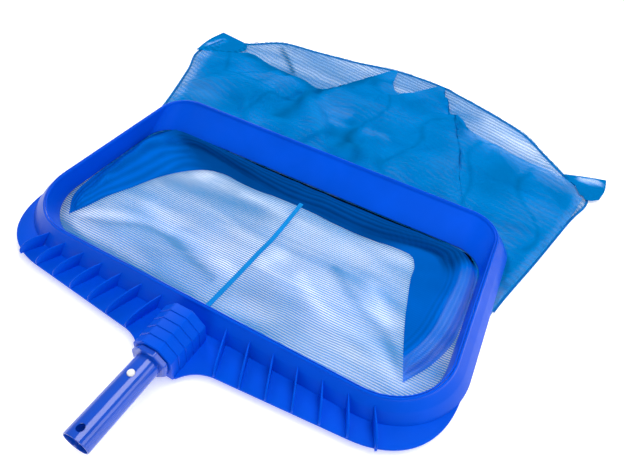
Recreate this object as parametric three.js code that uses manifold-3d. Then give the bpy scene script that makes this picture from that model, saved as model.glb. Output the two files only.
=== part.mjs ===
// Leaf skimmer net for a pool: a wide plastic scoop ring with a ribbed flange and a
// handle socket, a flat-woven mesh bag lying behind it, and a short handle tube with a
// push-button clip. Millimetres, +Z up, +X to the right, the handle towards -Y.
// Heights are above the surface that the net lies on. Depths (Y) are from the crest of
// the ring's near side while the model is built; the last lines centre the whole net.
import * as THREE from 'three';
import { mergeVertices } from 'three/addons/utils/BufferGeometryUtils.js';
import Module from 'manifold-3d';

const wasm = await Module();
wasm.setup();

// ---- driving dimensions -------------------------------------------------------------
const GAP = 0.3;                     // clearance between pieces that touch

// ring: the crest is a rounded rectangle, seen from above
const CREST_HALF_WIDTH = 273;
const CREST_DEPTH = 317;
const NEAR_CORNER_R = 79;
const FAR_CORNER_R = 43;
const CREST_Z = 36;
const RIM_Z = 6.5;                   // lower edge of the inner scoop wall
const FOOT_Z = 9;                    // lower edge of the outer skirt
const SHELL = 2.4;                   // moulded wall thickness
const SKIRT_OUT = { near: 16, side: 22, far: 8 };
const SCOOP_IN = { near: 14, side: 4.5, far: 37 };
const CORNER_STEPS = 8;

// flange on the handle side
const FLANGE_TOP = 11;
const FLANGE_THICK = 3;
const FLANGE_INNER_X = 57;           // where the straight edge meets the socket fillet
const FLANGE_EDGE_Y = -53;
const FLANGE_EDGE_SLOPE = 0.086;
const FLANGE_CORNER_X = 204;
const FLANGE_WIDEST_X = 291;
const FLANGE_END_Y = 54;

// ribs on the flange
const RIBS_PER_SIDE = 7;
const RIB_PITCH = 29;
const RIB_THICK = 2.5;
const RIB_FAN = 11.8;                // each rib's foot leans this far to the middle
const RIB_HEIGHT = 16;
const RIB_LIP = 2.5;

// handle tube: its axis starts under the near crest and climbs away from the ring
const TUBE_R = 14.25;
const TUBE_WALL = 1.2;
const TUBE_START = new THREE.Vector3(0, -25.4, 24.5);
const TUBE_CLIMB = 0.069;            // radians above the horizontal
const TUBE_FROM = -1.5;
const TUBE_TO = 143.9;
const HOLE_R = 4;
const BUTTON_AT = 74.8;              // distance along the axis
const SPARE_HOLE_AT = 134.4;

// octagonal pieces around the tube
const COLLAR_R = 21.7;
const COLLAR_FROM = 47.9;
const COLLAR_TO = 53.7;
const SOCKET_R = 28;
const SOCKET_STEPS = 5;
const SOCKET_STEP_DROP = 0.6;
const SOCKET_FROM = -5.4;
const SOCKET_TO = 47.4;
const SOCKET_BORE_R = 18.2;
const SOCKET_FLOOR_Z = 2;
const TUBE_SCREWS_AT = [12, 36];

// clip inside the tube
const LEG_Y = 9.9;                   // outer face of each spring leg at its button
const LEG_THICK = 1;
const LEG_WIDTH = 8;
const BUTTON_R = 3.7;
const BUTTON_TOP = 16.4;

// liner screws
const LUG_Z = 12.6;
const LUG_THICK = 2.4;
const LUG_WIDTH = 9;
const BOSS_R = 3.5;
const BOSS_TOP = 22.5;
const BOSS_SHARE = 0.3;              // part of the skirt's spread at which a boss stands

// hem around the scoop's rim
const HEM_Z = 9.4;
const HEM_R = 2.5;
const CORD_R = 1.45;

// bag
const CLOTH = 1.2;
const MOUTH_X = 262;                 // where each side seam starts, and its depth
const MOUTH_Y = 40;
const CORNER_X = 382;                // where each side seam ends, and its depth
const CORNER_Y = 575;
const BAG_END_Y = 684;
const BAG_PUFF = 26;
const UPPER_CLOTH_Z = 7.5;           // top of the upper panel where it passes the skirt
const SKIRT_CLEARANCE = 16;          // the upper panel starts to rise this far outside
const SEAM_CLOTH_Z = 2.9;            // top of the upper panel at its seams
const TAPE_WIDTH = 5.3;
const CENTRE_TAPE = { width: 6.5, from: 22, to: 272, z: 1.9, thick: 0.6 };
const TAB = { width: 11, length: 26, thick: 2.6 };

// ---- materials ----------------------------------------------------------------------
function finish(color, roughness, metalness) {
  return new THREE.MeshStandardMaterial({ color, roughness, metalness });
}

const framePlastic = finish(0x0646d8, 0.35, 0);
const sleevePlastic = finish(0x12204a, 0.5, 0);
const tubeMetal = finish(0x0a57c3, 0.25, 0.6);
const netFabric = finish(0x2f86dc, 0.85, 0);
const tapeFabric = finish(0x008cdc, 0.8, 0);
const cordFabric = finish(0xe8ecf2, 0.8, 0);
const buttonPlastic = finish(0xf4f4f0, 0.4, 0);
const steel = finish(0xb8bcc2, 0.3, 1);

// ---- solids: three.js geometry in, three.js geometry out ------------------------------
function toSolid(geometry) {
  const bare = geometry.clone();
  bare.deleteAttribute('normal');
  bare.deleteAttribute('uv');
  const merged = mergeVertices(bare, 1e-4);
  const mesh = new wasm.Mesh({
    numProp: 3,
    vertProperties: Float32Array.from(merged.attributes.position.array),
    triVerts: Uint32Array.from(merged.index.array),
  });
  return new wasm.Manifold(mesh);
}

function toGeometry(solid) {
  const mesh = solid.getMesh();
  const geometry = new THREE.BufferGeometry();
  geometry.setAttribute('position', new THREE.BufferAttribute(mesh.vertProperties, 3));
  geometry.setIndex(new THREE.BufferAttribute(mesh.triVerts, 1));
  geometry.computeVertexNormals();
  return geometry;
}

function closedGeometry(points, triangles) {
  const geometry = new THREE.BufferGeometry();
  geometry.setAttribute('position', new THREE.Float32BufferAttribute(points.flat(), 3));
  geometry.setIndex(triangles.flat());
  geometry.computeVertexNormals();
  return geometry;
}

function prism(shape, from, to) {
  const geometry = new THREE.ExtrudeGeometry(shape, {
    depth: to - from,
    bevelEnabled: false,
    curveSegments: 12,
  });
  return geometry.translate(0, 0, from);
}

function polygon(points) {
  return new THREE.Shape(points.map(([x, y]) => new THREE.Vector2(x, y)));
}

function cylinder(radius, from, to, segments = 24) {
  const geometry = new THREE.CylinderGeometry(radius, radius, to - from, segments);
  return geometry.translate(0, (from + to) / 2, 0);
}

// ---- the crest line and everything lofted around it -----------------------------------
function byDirection(amounts, normal) {
  const near = Math.max(0, -normal.y) ** 2;
  const far = Math.max(0, normal.y) ** 2;
  return amounts.near * near + amounts.side * normal.x ** 2 + amounts.far * far;
}

function crestCorners() {
  const nearX = CREST_HALF_WIDTH - NEAR_CORNER_R;
  const farX = CREST_HALF_WIDTH - FAR_CORNER_R;
  const farY = CREST_DEPTH - FAR_CORNER_R;
  return [
    { x: nearX, y: NEAR_CORNER_R, r: NEAR_CORNER_R, start: -Math.PI / 2 },
    { x: farX, y: farY, r: FAR_CORNER_R, start: 0 },
    { x: -farX, y: farY, r: FAR_CORNER_R, start: Math.PI / 2 },
    { x: -nearX, y: NEAR_CORNER_R, r: NEAR_CORNER_R, start: Math.PI },
  ];
}

function crestStation(corner, angle) {
  const normal = new THREE.Vector2(Math.cos(angle), Math.sin(angle));
  return { x: corner.x + corner.r * normal.x, y: corner.y + corner.r * normal.y, normal };
}

function crestStations(steps) {
  const stations = [];
  for (const corner of crestCorners()) {
    for (let i = 0; i <= steps; i += 1) {
      stations.push(crestStation(corner, corner.start + (Math.PI / 2) * (i / steps)));
    }
  }
  return stations;
}

// section(normal) gives the closed outline of one cut as [outward, height] points,
// anticlockwise when seen with outward to the right and up upwards
function loftRing(section, steps) {
  const stations = crestStations(steps);
  const points = [];
  const triangles = [];
  let size = 0;
  for (const station of stations) {
    const cut = section(station.normal);
    size = cut.length;
    for (const [out, z] of cut) {
      points.push([station.x + station.normal.x * out, station.y + station.normal.y * out, z]);
    }
  }
  for (let i = 0; i < stations.length; i += 1) {
    const j = (i + 1) % stations.length;
    for (let k = 0; k < size; k += 1) {
      const n = (k + 1) % size;
      triangles.push([i * size + k, j * size + k, j * size + n]);
      triangles.push([i * size + k, j * size + n, i * size + n]);
    }
  }
  return closedGeometry(points, triangles);
}

// horizontal distance from the crest to the scoop wall at a height
function scoopIn(normal, z) {
  const top = 3.4;
  const share = (CREST_Z - 3 - z) / (CREST_Z - 3 - RIM_Z);
  return top + (byDirection(SCOOP_IN, normal) - top) * share;
}

function skirtSection(normal) {
  const foot = byDirection(SKIRT_OUT, normal);
  return [
    [foot - SHELL, FOOT_Z],
    [foot, FOOT_Z],
    [foot, FLANGE_TOP + 0.5],
    [foot * 0.52 + 0.6, 24],
    [1.9, 34],
    [1.1, 35.6],
    [0.3, CREST_Z],
    [-0.5, 35.6],
    [-0.8, 33.4],
    [foot * 0.52 - 2, 22.5],
    [foot - SHELL, FLANGE_TOP],
  ];
}

function linerSection(normal) {
  return [
    [-scoopIn(normal, RIM_Z), RIM_Z],
    [-scoopIn(normal, RIM_Z) + SHELL, RIM_Z],
    [-scoopIn(normal, 20) + SHELL, 20],
    [-1.3, 31.5],
    [-1.3, 35.2],
    [-2.1, 35.8],
    [-3, 35.2],
    [-scoopIn(normal, 33), 33],
    [-scoopIn(normal, 20), 20],
  ];
}

function hemCentre(normal) {
  return -scoopIn(normal, HEM_Z + HEM_R) + SHELL + HEM_R + 2 * GAP;
}

function hemSection(normal) {
  const centre = hemCentre(normal);
  const inner = CORD_R + GAP;
  const at = (radius, degrees) => {
    const angle = THREE.MathUtils.degToRad(degrees);
    return [centre + radius * Math.cos(angle), HEM_Z + radius * Math.sin(angle)];
  };
  const outside = [-60, -10, 40, 90, 140, 190, 240].map((degrees) => at(HEM_R, degrees));
  const inside = [240, 190, 140, 90, 40, -10, -60].map((degrees) => at(inner, degrees));
  return outside.concat(inside);
}

function cordSection(normal) {
  const centre = hemCentre(normal);
  const points = [];
  for (let i = 0; i < 6; i += 1) {
    const angle = (Math.PI / 3) * i;
    points.push([centre + CORD_R * Math.cos(angle), HEM_Z + CORD_R * Math.sin(angle)]);
  }
  return points;
}

// ---- liner screws: where they stand ---------------------------------------------------
function linerScrewPlaces() {
  const corners = crestCorners();
  const places = [];
  for (const side of [1, -1]) {
    const nearCorner = side > 0 ? corners[0] : corners[3];
    const farCorner = side > 0 ? corners[1] : corners[2];
    const flip = (angle) => (side > 0 ? angle : Math.PI - angle);
    places.push({ x: side * 150, y: 0, normal: new THREE.Vector2(0, -1) });
    places.push(crestStation(nearCorner, flip(-Math.PI / 4)));
    places.push({ x: side * CREST_HALF_WIDTH, y: 178, normal: new THREE.Vector2(side, 0) });
    places.push(crestStation(farCorner, flip(Math.PI / 4)));
  }
  return places;
}

function upright(radius, from, to, place, segments = 16) {
  const out = byDirection(SKIRT_OUT, place.normal) * BOSS_SHARE;
  const post = cylinder(radius, from, to, segments).rotateX(Math.PI / 2);
  return post.translate(place.x + place.normal.x * out, place.y + place.normal.y * out, 0);
}

function lug(place) {
  const inner = -scoopIn(place.normal, LUG_Z) + SHELL / 2;
  const outer = byDirection(SKIRT_OUT, place.normal) * BOSS_SHARE + BOSS_R;
  const plate = new THREE.BoxGeometry(outer - inner, LUG_WIDTH, LUG_THICK);
  plate.translate((outer + inner) / 2, 0, LUG_Z + LUG_THICK / 2);
  plate.rotateZ(Math.atan2(place.normal.y, place.normal.x));
  return plate.translate(place.x, place.y, 0);
}

// ---- the handle's own frame: local Z runs out along the tube, local Y is up ------------
const handleFrame = new THREE.Group();
handleFrame.position.copy(TUBE_START);
handleFrame.rotation.x = Math.PI / 2 - TUBE_CLIMB;
handleFrame.updateMatrix();

function octagon(radius, holeRadius = 0) {
  const corners = [];
  for (let i = 0; i < 8; i += 1) {
    const angle = (Math.PI / 4) * (i + 0.5);
    corners.push([radius * Math.cos(angle), radius * Math.sin(angle)]);
  }
  const shape = polygon(corners);
  if (holeRadius > 0) {
    const hole = new THREE.Path();
    hole.absarc(0, 0, holeRadius, 0, Math.PI * 2, true);
    shape.holes.push(hole);
  }
  return shape;
}

function tubeBetween(innerRadius, outerRadius, from, to, segments) {
  const profile = [
    new THREE.Vector2(innerRadius, from),
    new THREE.Vector2(outerRadius, from),
    new THREE.Vector2(outerRadius, to),
    new THREE.Vector2(innerRadius, to),
    new THREE.Vector2(innerRadius, from),
  ];
  return new THREE.LatheGeometry(profile, segments).rotateX(Math.PI / 2);
}

// a cylinder across the handle, from one height to another, at a distance along it
function across(radius, from, to, along, segments = 24) {
  return cylinder(radius, from, to, segments).translate(0, 0, along);
}

// ---- outer frame: skirt, flange, ribs and handle socket in one moulding -----------------
function flangeShape() {
  const edgeAt = (x) => FLANGE_EDGE_Y + FLANGE_EDGE_SLOPE * (x - FLANGE_INNER_X);
  const shape = new THREE.Shape();
  shape.moveTo(25, -73);
  shape.quadraticCurveTo(36, -56, FLANGE_INNER_X, FLANGE_EDGE_Y);
  shape.lineTo(FLANGE_CORNER_X, edgeAt(FLANGE_CORNER_X));
  shape.bezierCurveTo(250, -36, 288, -10, FLANGE_WIDEST_X, FLANGE_END_Y);
  shape.lineTo(-FLANGE_WIDEST_X, FLANGE_END_Y);
  shape.bezierCurveTo(-288, -10, -250, -36, -FLANGE_CORNER_X, edgeAt(FLANGE_CORNER_X));
  shape.lineTo(-FLANGE_INNER_X, FLANGE_EDGE_Y);
  shape.quadraticCurveTo(-36, -56, -25, -73);
  return shape;
}

function insideSkirt() {
  const points = crestStations(CORNER_STEPS).map((station) => {
    const out = byDirection(SKIRT_OUT, station.normal) - SHELL;
    return [station.x + station.normal.x * out, station.y + station.normal.y * out];
  });
  return prism(polygon(points), FOOT_Z - 3, FLANGE_TOP + 1);
}

function flange() {
  const plate = toSolid(prism(flangeShape(), FLANGE_TOP - FLANGE_THICK, FLANGE_TOP));
  return plate.subtract(toSolid(insideSkirt()));
}

function rib(index, side) {
  const outerX = FLANGE_INNER_X + 0.6 + RIB_PITCH * index;
  const outerY = FLANGE_EDGE_Y + FLANGE_EDGE_SLOPE * (outerX - FLANGE_INNER_X);
  const footY = -SKIRT_OUT.near;
  const run = Math.hypot(RIB_FAN, footY - outerY);
  const profile = new THREE.Shape();
  profile.moveTo(0.4, -1);
  profile.lineTo(run, -1);
  profile.lineTo(run + 13, RIB_HEIGHT);
  profile.lineTo(run - 4, RIB_HEIGHT);
  profile.quadraticCurveTo(4, RIB_HEIGHT - 2.5, 0.4, RIB_LIP);
  const blade = prism(profile, -RIB_THICK / 2, RIB_THICK / 2);
  blade.rotateX(Math.PI / 2);
  blade.rotateZ(Math.atan2(footY - outerY, -side * RIB_FAN));
  return blade.translate(side * outerX, outerY, FLANGE_TOP);
}

function socketShell() {
  const length = (SOCKET_TO - SOCKET_FROM) / SOCKET_STEPS;
  let shell = null;
  for (let i = 0; i < SOCKET_STEPS; i += 1) {
    const from = SOCKET_FROM + length * i;
    const step = prism(octagon(SOCKET_R - SOCKET_STEP_DROP * i), from - (i ? 1 : 0), from + length);
    const solid = toSolid(step.applyMatrix4(handleFrame.matrix));
    shell = shell ? shell.add(solid) : solid;
  }
  return shell;
}

function socketCuts() {
  const below = new THREE.BoxGeometry(90, 90, 40);
  const cuts = [
    prism(octagon(SOCKET_BORE_R / Math.cos(Math.PI / 8)), TUBE_FROM - 1, SOCKET_TO + 60)
      .applyMatrix4(handleFrame.matrix),
    below.translate(0, -50, SOCKET_FLOOR_Z - 20),
  ];
  for (const along of TUBE_SCREWS_AT) {
    cuts.push(across(2.2, -26, -14, along, 16).applyMatrix4(handleFrame.matrix));
    cuts.push(across(4.4, -30, -21.3, along, 16).applyMatrix4(handleFrame.matrix));
  }
  return cuts;
}

function outerFrame() {
  let frame = toSolid(loftRing(skirtSection, CORNER_STEPS)).add(flange());
  for (let i = 0; i < RIBS_PER_SIDE; i += 1) {
    frame = frame.add(toSolid(rib(i, 1))).add(toSolid(rib(i, -1)));
  }
  frame = frame.add(socketShell());
  for (const cut of socketCuts()) {
    frame = frame.subtract(toSolid(cut));
  }
  for (const place of linerScrewPlaces()) {
    frame = frame.add(toSolid(upright(BOSS_R, LUG_Z + LUG_THICK + GAP, BOSS_TOP, place)));
    frame = frame.subtract(toSolid(upright(1.8, LUG_Z, BOSS_TOP - 2, place)));
  }
  return toGeometry(frame);
}

// ---- scoop liner: the inner wall with its lugs ------------------------------------------
function scoopLiner() {
  let liner = toSolid(loftRing(linerSection, CORNER_STEPS));
  for (const place of linerScrewPlaces()) {
    liner = liner.add(toSolid(lug(place)));
    liner = liner.subtract(toSolid(upright(1.8, LUG_Z - 2, LUG_Z + LUG_THICK + 2, place)));
  }
  return toGeometry(liner);
}

function linerScrew(place) {
  const head = toSolid(upright(3.2, LUG_Z - 2.3, LUG_Z - GAP, place));
  const shank = toSolid(upright(1.5, LUG_Z - 1, BOSS_TOP - 2.5, place));
  return toGeometry(head.add(shank));
}

// ---- handle pieces, in the handle's own frame --------------------------------------------
function handleTube() {
  let tube = toSolid(tubeBetween(TUBE_R - TUBE_WALL, TUBE_R, TUBE_FROM, TUBE_TO, 40));
  for (const along of [BUTTON_AT, SPARE_HOLE_AT]) {
    tube = tube.subtract(toSolid(across(HOLE_R, -20, 20, along)));
  }
  for (const along of TUBE_SCREWS_AT) {
    tube = tube.subtract(toSolid(across(2.2, -20, -8, along, 16)));
  }
  return toGeometry(tube);
}

function handleCollar() {
  return prism(octagon(COLLAR_R, TUBE_R + GAP), COLLAR_FROM, COLLAR_TO);
}

function socketSleeve() {
  const inner = TUBE_R + GAP;
  const outer = SOCKET_BORE_R - GAP;
  let sleeve = toSolid(tubeBetween(inner, outer, TUBE_FROM, SOCKET_TO - GAP, 32));
  for (const along of TUBE_SCREWS_AT) {
    sleeve = sleeve.subtract(toSolid(across(2.2, -20, -8, along, 16)));
  }
  return toGeometry(sleeve);
}

function tubeScrew(along) {
  const head = toSolid(across(4, -23.6, -21.6, along, 16));
  const shank = toSolid(across(1.9, -22, -11.8, along, 16));
  return toGeometry(head.add(shank));
}

function clipSpring() {
  const bendAt = 32;
  const bendR = 3.5;
  const kneeAt = 66;
  const tipAt = 83;
  const strip = new THREE.Shape();
  strip.moveTo(bendAt, bendR);
  strip.lineTo(kneeAt, LEG_Y);
  strip.lineTo(tipAt, LEG_Y);
  strip.lineTo(tipAt, LEG_Y - LEG_THICK);
  strip.lineTo(kneeAt, LEG_Y - LEG_THICK);
  strip.lineTo(bendAt, bendR - LEG_THICK);
  strip.absarc(bendAt, 0, bendR - LEG_THICK, Math.PI / 2, Math.PI * 1.5, false);
  strip.lineTo(kneeAt, LEG_THICK - LEG_Y);
  strip.lineTo(tipAt, LEG_THICK - LEG_Y);
  strip.lineTo(tipAt, -LEG_Y);
  strip.lineTo(kneeAt, -LEG_Y);
  strip.lineTo(bendAt, -bendR);
  strip.absarc(bendAt, 0, bendR, Math.PI * 1.5, Math.PI / 2, true);
  return prism(strip, -LEG_WIDTH / 2, LEG_WIDTH / 2).rotateY(-Math.PI / 2);
}

// a stepped pin: a wide foot inside the tube and a domed stem through the hole
function clipButton(side) {
  const foot = LEG_Y + GAP;
  const profile = [
    [0, foot], [5, foot], [5, foot + 1.4], [BUTTON_R, foot + 1.4], [BUTTON_R, BUTTON_TOP - 1.4],
    [BUTTON_R - 0.5, BUTTON_TOP - 0.6], [BUTTON_R - 1.6, BUTTON_TOP - 0.1], [0, BUTTON_TOP],
  ].map(([radius, height]) => new THREE.Vector2(radius, height));
  const button = new THREE.LatheGeometry(profile, 20);
  if (side < 0) {
    button.rotateX(Math.PI);
  }
  return button.translate(0, 0, BUTTON_AT);
}

// ---- bag ----------------------------------------------------------------------------------
function sideSeamAt(share, side) {
  const x = THREE.MathUtils.lerp(MOUTH_X, CORNER_X, share);
  return [side * x, THREE.MathUtils.lerp(MOUTH_Y, CORNER_Y, share)];
}

function endSeamAt(share) {
  const across01 = 1 - 2 * share;
  return [CORNER_X * across01, CORNER_Y + (BAG_END_Y - CORNER_Y) * (1 - across01 ** 2)];
}

function endSeamPoints(steps) {
  return Array.from({ length: steps + 1 }, (unused, i) => endSeamAt(i / steps));
}

function bagLowerPanel() {
  const outline = [
    [-225, 9], [225, 9], sideSeamAt(0, 1), ...endSeamPoints(20), sideSeamAt(0, -1),
  ];
  return prism(polygon(outline), 0, CLOTH + 0.1);
}

// the crest line from the middle of the near right corner round the far side to the
// middle of the near left corner
function mouthPath() {
  const [nearRight, farRight, farLeft, nearLeft] = crestCorners();
  const path = new THREE.Path();
  path.absarc(nearRight.x, nearRight.y, nearRight.r, -Math.PI / 4, 0, false);
  path.absarc(farRight.x, farRight.y, farRight.r, 0, Math.PI / 2, false);
  path.absarc(farLeft.x, farLeft.y, farLeft.r, Math.PI / 2, Math.PI, false);
  path.absarc(nearLeft.x, nearLeft.y, nearLeft.r, Math.PI, Math.PI * 1.25, false);
  return path;
}

function upperPanelStations() {
  const path = mouthPath();
  const sideSteps = 12;
  const endSteps = 16;
  const sideShare = 0.262;           // the part of the mouth line that each side seam takes
  const stations = [];
  const add = (along, outer) => {
    const point = path.getPointAt(along);
    const tangent = path.getTangentAt(along);
    const normal = new THREE.Vector2(tangent.y, -tangent.x);
    const out = hemCentre(normal) + HEM_R + 2 * GAP;
    stations.push({ inner: [point.x + normal.x * out, point.y + normal.y * out], outer, normal });
  };
  for (let i = 0; i < sideSteps; i += 1) {
    add(sideShare * (i / sideSteps), sideSeamAt(i / sideSteps, 1));
  }
  for (let i = 0; i < endSteps; i += 1) {
    add(sideShare + (1 - 2 * sideShare) * (i / endSteps), endSeamAt(i / endSteps));
  }
  for (let i = 0; i <= sideSteps; i += 1) {
    add(1 - sideShare * (1 - i / sideSteps), sideSeamAt(1 - i / sideSteps, -1));
  }
  return stations;
}

function beyondSkirt(x, y) {
  const sideways = Math.abs(x) - CREST_HALF_WIDTH - SKIRT_OUT.side;
  const behind = y - CREST_DEPTH - SKIRT_OUT.far;
  return Math.max(sideways, behind);
}

function upperClothTop(x, y, toSeam) {
  const clearOfSkirt = UPPER_CLOTH_Z + 0.45 * Math.max(0, beyondSkirt(x, y) - SKIRT_CLEARANCE);
  return Math.min(BAG_PUFF, clearOfSkirt, SEAM_CLOTH_Z + 0.35 * toSeam);
}

function bagUpperPanel() {
  const shares = [0, 0.1, 0.2, 0.32, 0.48, 0.64, 0.8, 0.92, 1];
  const stations = upperPanelStations();
  const points = [];
  for (const station of stations) {
    const span = Math.hypot(
      station.outer[0] - station.inner[0],
      station.outer[1] - station.inner[1],
    );
    for (const share of shares) {
      const x = THREE.MathUtils.lerp(station.inner[0], station.outer[0], share);
      const y = THREE.MathUtils.lerp(station.inner[1], station.outer[1], share);
      const top = upperClothTop(x, y, span * (1 - share));
      points.push([x, y, top], [x, y, top - CLOTH]);
    }
  }
  const rowSize = shares.length;
  const top = (i, k) => 2 * (i * rowSize + k);
  const bottom = (i, k) => top(i, k) + 1;
  const triangles = [];
  const quad = (a, b, c, d) => triangles.push([a, b, c], [a, c, d]);
  const lastRow = stations.length - 1;
  const lastShare = rowSize - 1;
  for (let i = 0; i < lastRow; i += 1) {
    for (let k = 0; k < lastShare; k += 1) {
      quad(top(i, k), top(i, k + 1), top(i + 1, k + 1), top(i + 1, k));
      quad(bottom(i, k), bottom(i + 1, k), bottom(i + 1, k + 1), bottom(i, k + 1));
    }
    quad(top(i, 0), top(i + 1, 0), bottom(i + 1, 0), bottom(i, 0));
    quad(top(i, lastShare), bottom(i, lastShare), bottom(i + 1, lastShare), top(i + 1, lastShare));
  }
  for (let k = 0; k < lastShare; k += 1) {
    quad(top(0, k), bottom(0, k), bottom(0, k + 1), top(0, k + 1));
    quad(top(lastRow, k), top(lastRow, k + 1), bottom(lastRow, k + 1), bottom(lastRow, k));
  }
  return closedGeometry(points, triangles);
}

// a flat tape that runs along the outside of a line of points
function edgeTape(line) {
  const outside = [];
  const inside = [];
  for (let i = 0; i < line.length; i += 1) {
    const before = line[Math.max(0, i - 1)];
    const after = line[Math.min(line.length - 1, i + 1)];
    const run = Math.hypot(after[0] - before[0], after[1] - before[1]);
    const out = [(after[1] - before[1]) / run, -(after[0] - before[0]) / run];
    inside.push([line[i][0] + out[0] * GAP, line[i][1] + out[1] * GAP]);
    const reach = GAP + TAPE_WIDTH;
    outside.push([line[i][0] + out[0] * reach, line[i][1] + out[1] * reach]);
  }
  return prism(polygon(outside.concat(inside.reverse())), 0, SEAM_CLOTH_Z + 0.1);
}

function sideSeamTape(side) {
  const line = [sideSeamAt(0.01, side), sideSeamAt(0.985, side)];
  return edgeTape(side > 0 ? line : line.reverse());
}

function centreTape() {
  const { width, from, to, z, thick } = CENTRE_TAPE;
  return new THREE.BoxGeometry(width, to - from, thick).translate(0, (from + to) / 2, z);
}

function cornerTab(side) {
  const lean = Math.atan2(CORNER_X - MOUTH_X, CORNER_Y - MOUTH_Y);
  const out = TAPE_WIDTH + 2 * GAP + TAB.width / 2;
  const [x, y] = sideSeamAt(0.95, side);
  const tab = new THREE.BoxGeometry(TAB.width, TAB.length, TAB.thick).rotateZ(-side * lean);
  return tab.translate(
    x + side * out * Math.cos(lean),
    y - out * Math.sin(lean),
    TAB.thick / 2,
  );
}

// ---- the scene graph --------------------------------------------------------------------
const net = new THREE.Group();

function place(name, geometry, material, parent = net) {
  const mesh = new THREE.Mesh(geometry, material);
  mesh.name = name;
  parent.add(mesh);
}

place('outer_frame', outerFrame(), framePlastic);
place('scoop_liner', scoopLiner(), framePlastic);
linerScrewPlaces().forEach((spot, i) => place(`liner_screw_${i + 1}`, linerScrew(spot), steel));

net.add(handleFrame);
place('handle_tube', handleTube(), tubeMetal, handleFrame);
place('handle_collar', handleCollar(), tubeMetal, handleFrame);
place('socket_sleeve', socketSleeve(), sleevePlastic, handleFrame);
TUBE_SCREWS_AT.forEach((along, i) => {
  place(`tube_screw_${i + 1}`, tubeScrew(along), steel, handleFrame);
});
place('clip_spring', clipSpring(), steel, handleFrame);
place('button_upper', clipButton(1), buttonPlastic, handleFrame);
place('button_lower', clipButton(-1), buttonPlastic, handleFrame);

place('bag_hem', loftRing(hemSection, CORNER_STEPS), netFabric);
place('hem_cord', loftRing(cordSection, CORNER_STEPS), cordFabric);
place('bag_lower_panel', bagLowerPanel(), netFabric);
place('bag_upper_panel', bagUpperPanel(), netFabric);
place('centre_seam_tape', centreTape(), tapeFabric);
place('side_seam_tape_right', sideSeamTape(1), tapeFabric);
place('side_seam_tape_left', sideSeamTape(-1), tapeFabric);
place('end_seam_tape', edgeTape(endSeamPoints(20)), tapeFabric);
place('corner_tab_right', cornerTab(1), tapeFabric);
place('corner_tab_left', cornerTab(-1), tapeFabric);

// the origin is the middle of the footprint, on the surface that the net lies on
const footprint = new THREE.Box3().setFromObject(net);
net.position.y = -(footprint.min.y + footprint.max.y) / 2;

const part = new THREE.Group();
part.add(net);
export default part;
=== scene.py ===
"""Looks of the leaf skimmer net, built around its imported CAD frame.

Most shapes are worked out in ring millimetres: X to the right, Y away from the handle and
counted from the crest of the ring's near side, Z up from the surface that the net lies on.
place() turns them into the frame's metres.
"""
import math

import bmesh
import bpy
import numpy as np
from mathutils import Matrix, Vector, noise
from mathutils.bvhtree import BVHTree


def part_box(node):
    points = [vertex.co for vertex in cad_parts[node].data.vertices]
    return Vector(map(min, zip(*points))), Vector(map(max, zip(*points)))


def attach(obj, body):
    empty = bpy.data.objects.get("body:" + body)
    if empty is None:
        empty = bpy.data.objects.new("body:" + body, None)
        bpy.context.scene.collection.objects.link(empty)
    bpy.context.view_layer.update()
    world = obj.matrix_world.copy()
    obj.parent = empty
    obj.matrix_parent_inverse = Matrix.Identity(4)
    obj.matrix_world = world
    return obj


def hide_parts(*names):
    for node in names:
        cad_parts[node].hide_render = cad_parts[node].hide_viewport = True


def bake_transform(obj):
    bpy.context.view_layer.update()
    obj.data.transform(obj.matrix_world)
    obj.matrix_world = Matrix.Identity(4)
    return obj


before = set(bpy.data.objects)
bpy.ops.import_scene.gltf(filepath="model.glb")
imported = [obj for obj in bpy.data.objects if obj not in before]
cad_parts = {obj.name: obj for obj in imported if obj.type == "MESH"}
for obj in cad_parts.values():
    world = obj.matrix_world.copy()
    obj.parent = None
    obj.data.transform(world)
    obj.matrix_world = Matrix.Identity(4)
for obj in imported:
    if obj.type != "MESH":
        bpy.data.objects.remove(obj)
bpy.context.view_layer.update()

MM = 0.001

# ---- sizes shared with the CAD part, in millimetres ------------------------------------
CREST_HALF_WIDTH = 273
CREST_DEPTH = 317
NEAR_CORNER_R = 79
FAR_CORNER_R = 43
CREST_Z = 36
LIP_INSET = 3.4
LIP_DROP = 3
RIM_Z = 6.5
FOOT_Z = 9
SHELL = 2.4
SKIRT_OUT = {"near": 16, "side": 22, "far": 8}
RIM_HALF_WIDTH = 268.5
RIM_NEAR_Y = 14
RIM_FAR_Y = 268
RIM_NEAR_R = 72
RIM_FAR_R = 40

FLANGE_TOP = 11
FLANGE_THICK = 3
FLANGE_UNDER_SKIRT = 1.2
FLANGE_TONGUE_X = 25
FLANGE_TONGUE_Y = -73
FLANGE_INNER_X = 57
FLANGE_EDGE_Y = -53
FLANGE_EDGE_SLOPE = 0.086
FLANGE_CORNER_X = 204
FLANGE_WIDEST_X = 291
FLANGE_END_Y = 54

RIBS_PER_SIDE = 7
RIB_PITCH = 29
RIB_THICK = 2.5
RIB_FAN = 11.8
RIB_HEIGHT = 16
RIB_LIP = 2.5

TUBE_R = 14.25
TUBE_WALL = 1.2
TUBE_START = (-25.4, 24.5)
TUBE_CLIMB = 0.069
TUBE_FROM = -1.5
TUBE_TO = 143.9
HOLE_R = 4
BUTTON_AT = 74.8
SPARE_HOLE_AT = 134.4
COLLAR_R = 21.7
COLLAR_FROM = 47.9
COLLAR_TO = 53.7
SOCKET_R = 28
SOCKET_STEPS = 5
SOCKET_STEP_DROP = 0.6
SOCKET_FROM = -5.4
SOCKET_TO = 47.4
SOCKET_BORE_R = 18.2
SOCKET_FLOOR_Z = 7
LEG_UP = 9.9
LEG_THICK = 1
LEG_WIDTH = 8
BUTTON_R = 3.7
BUTTON_TOP = 16.4

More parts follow.
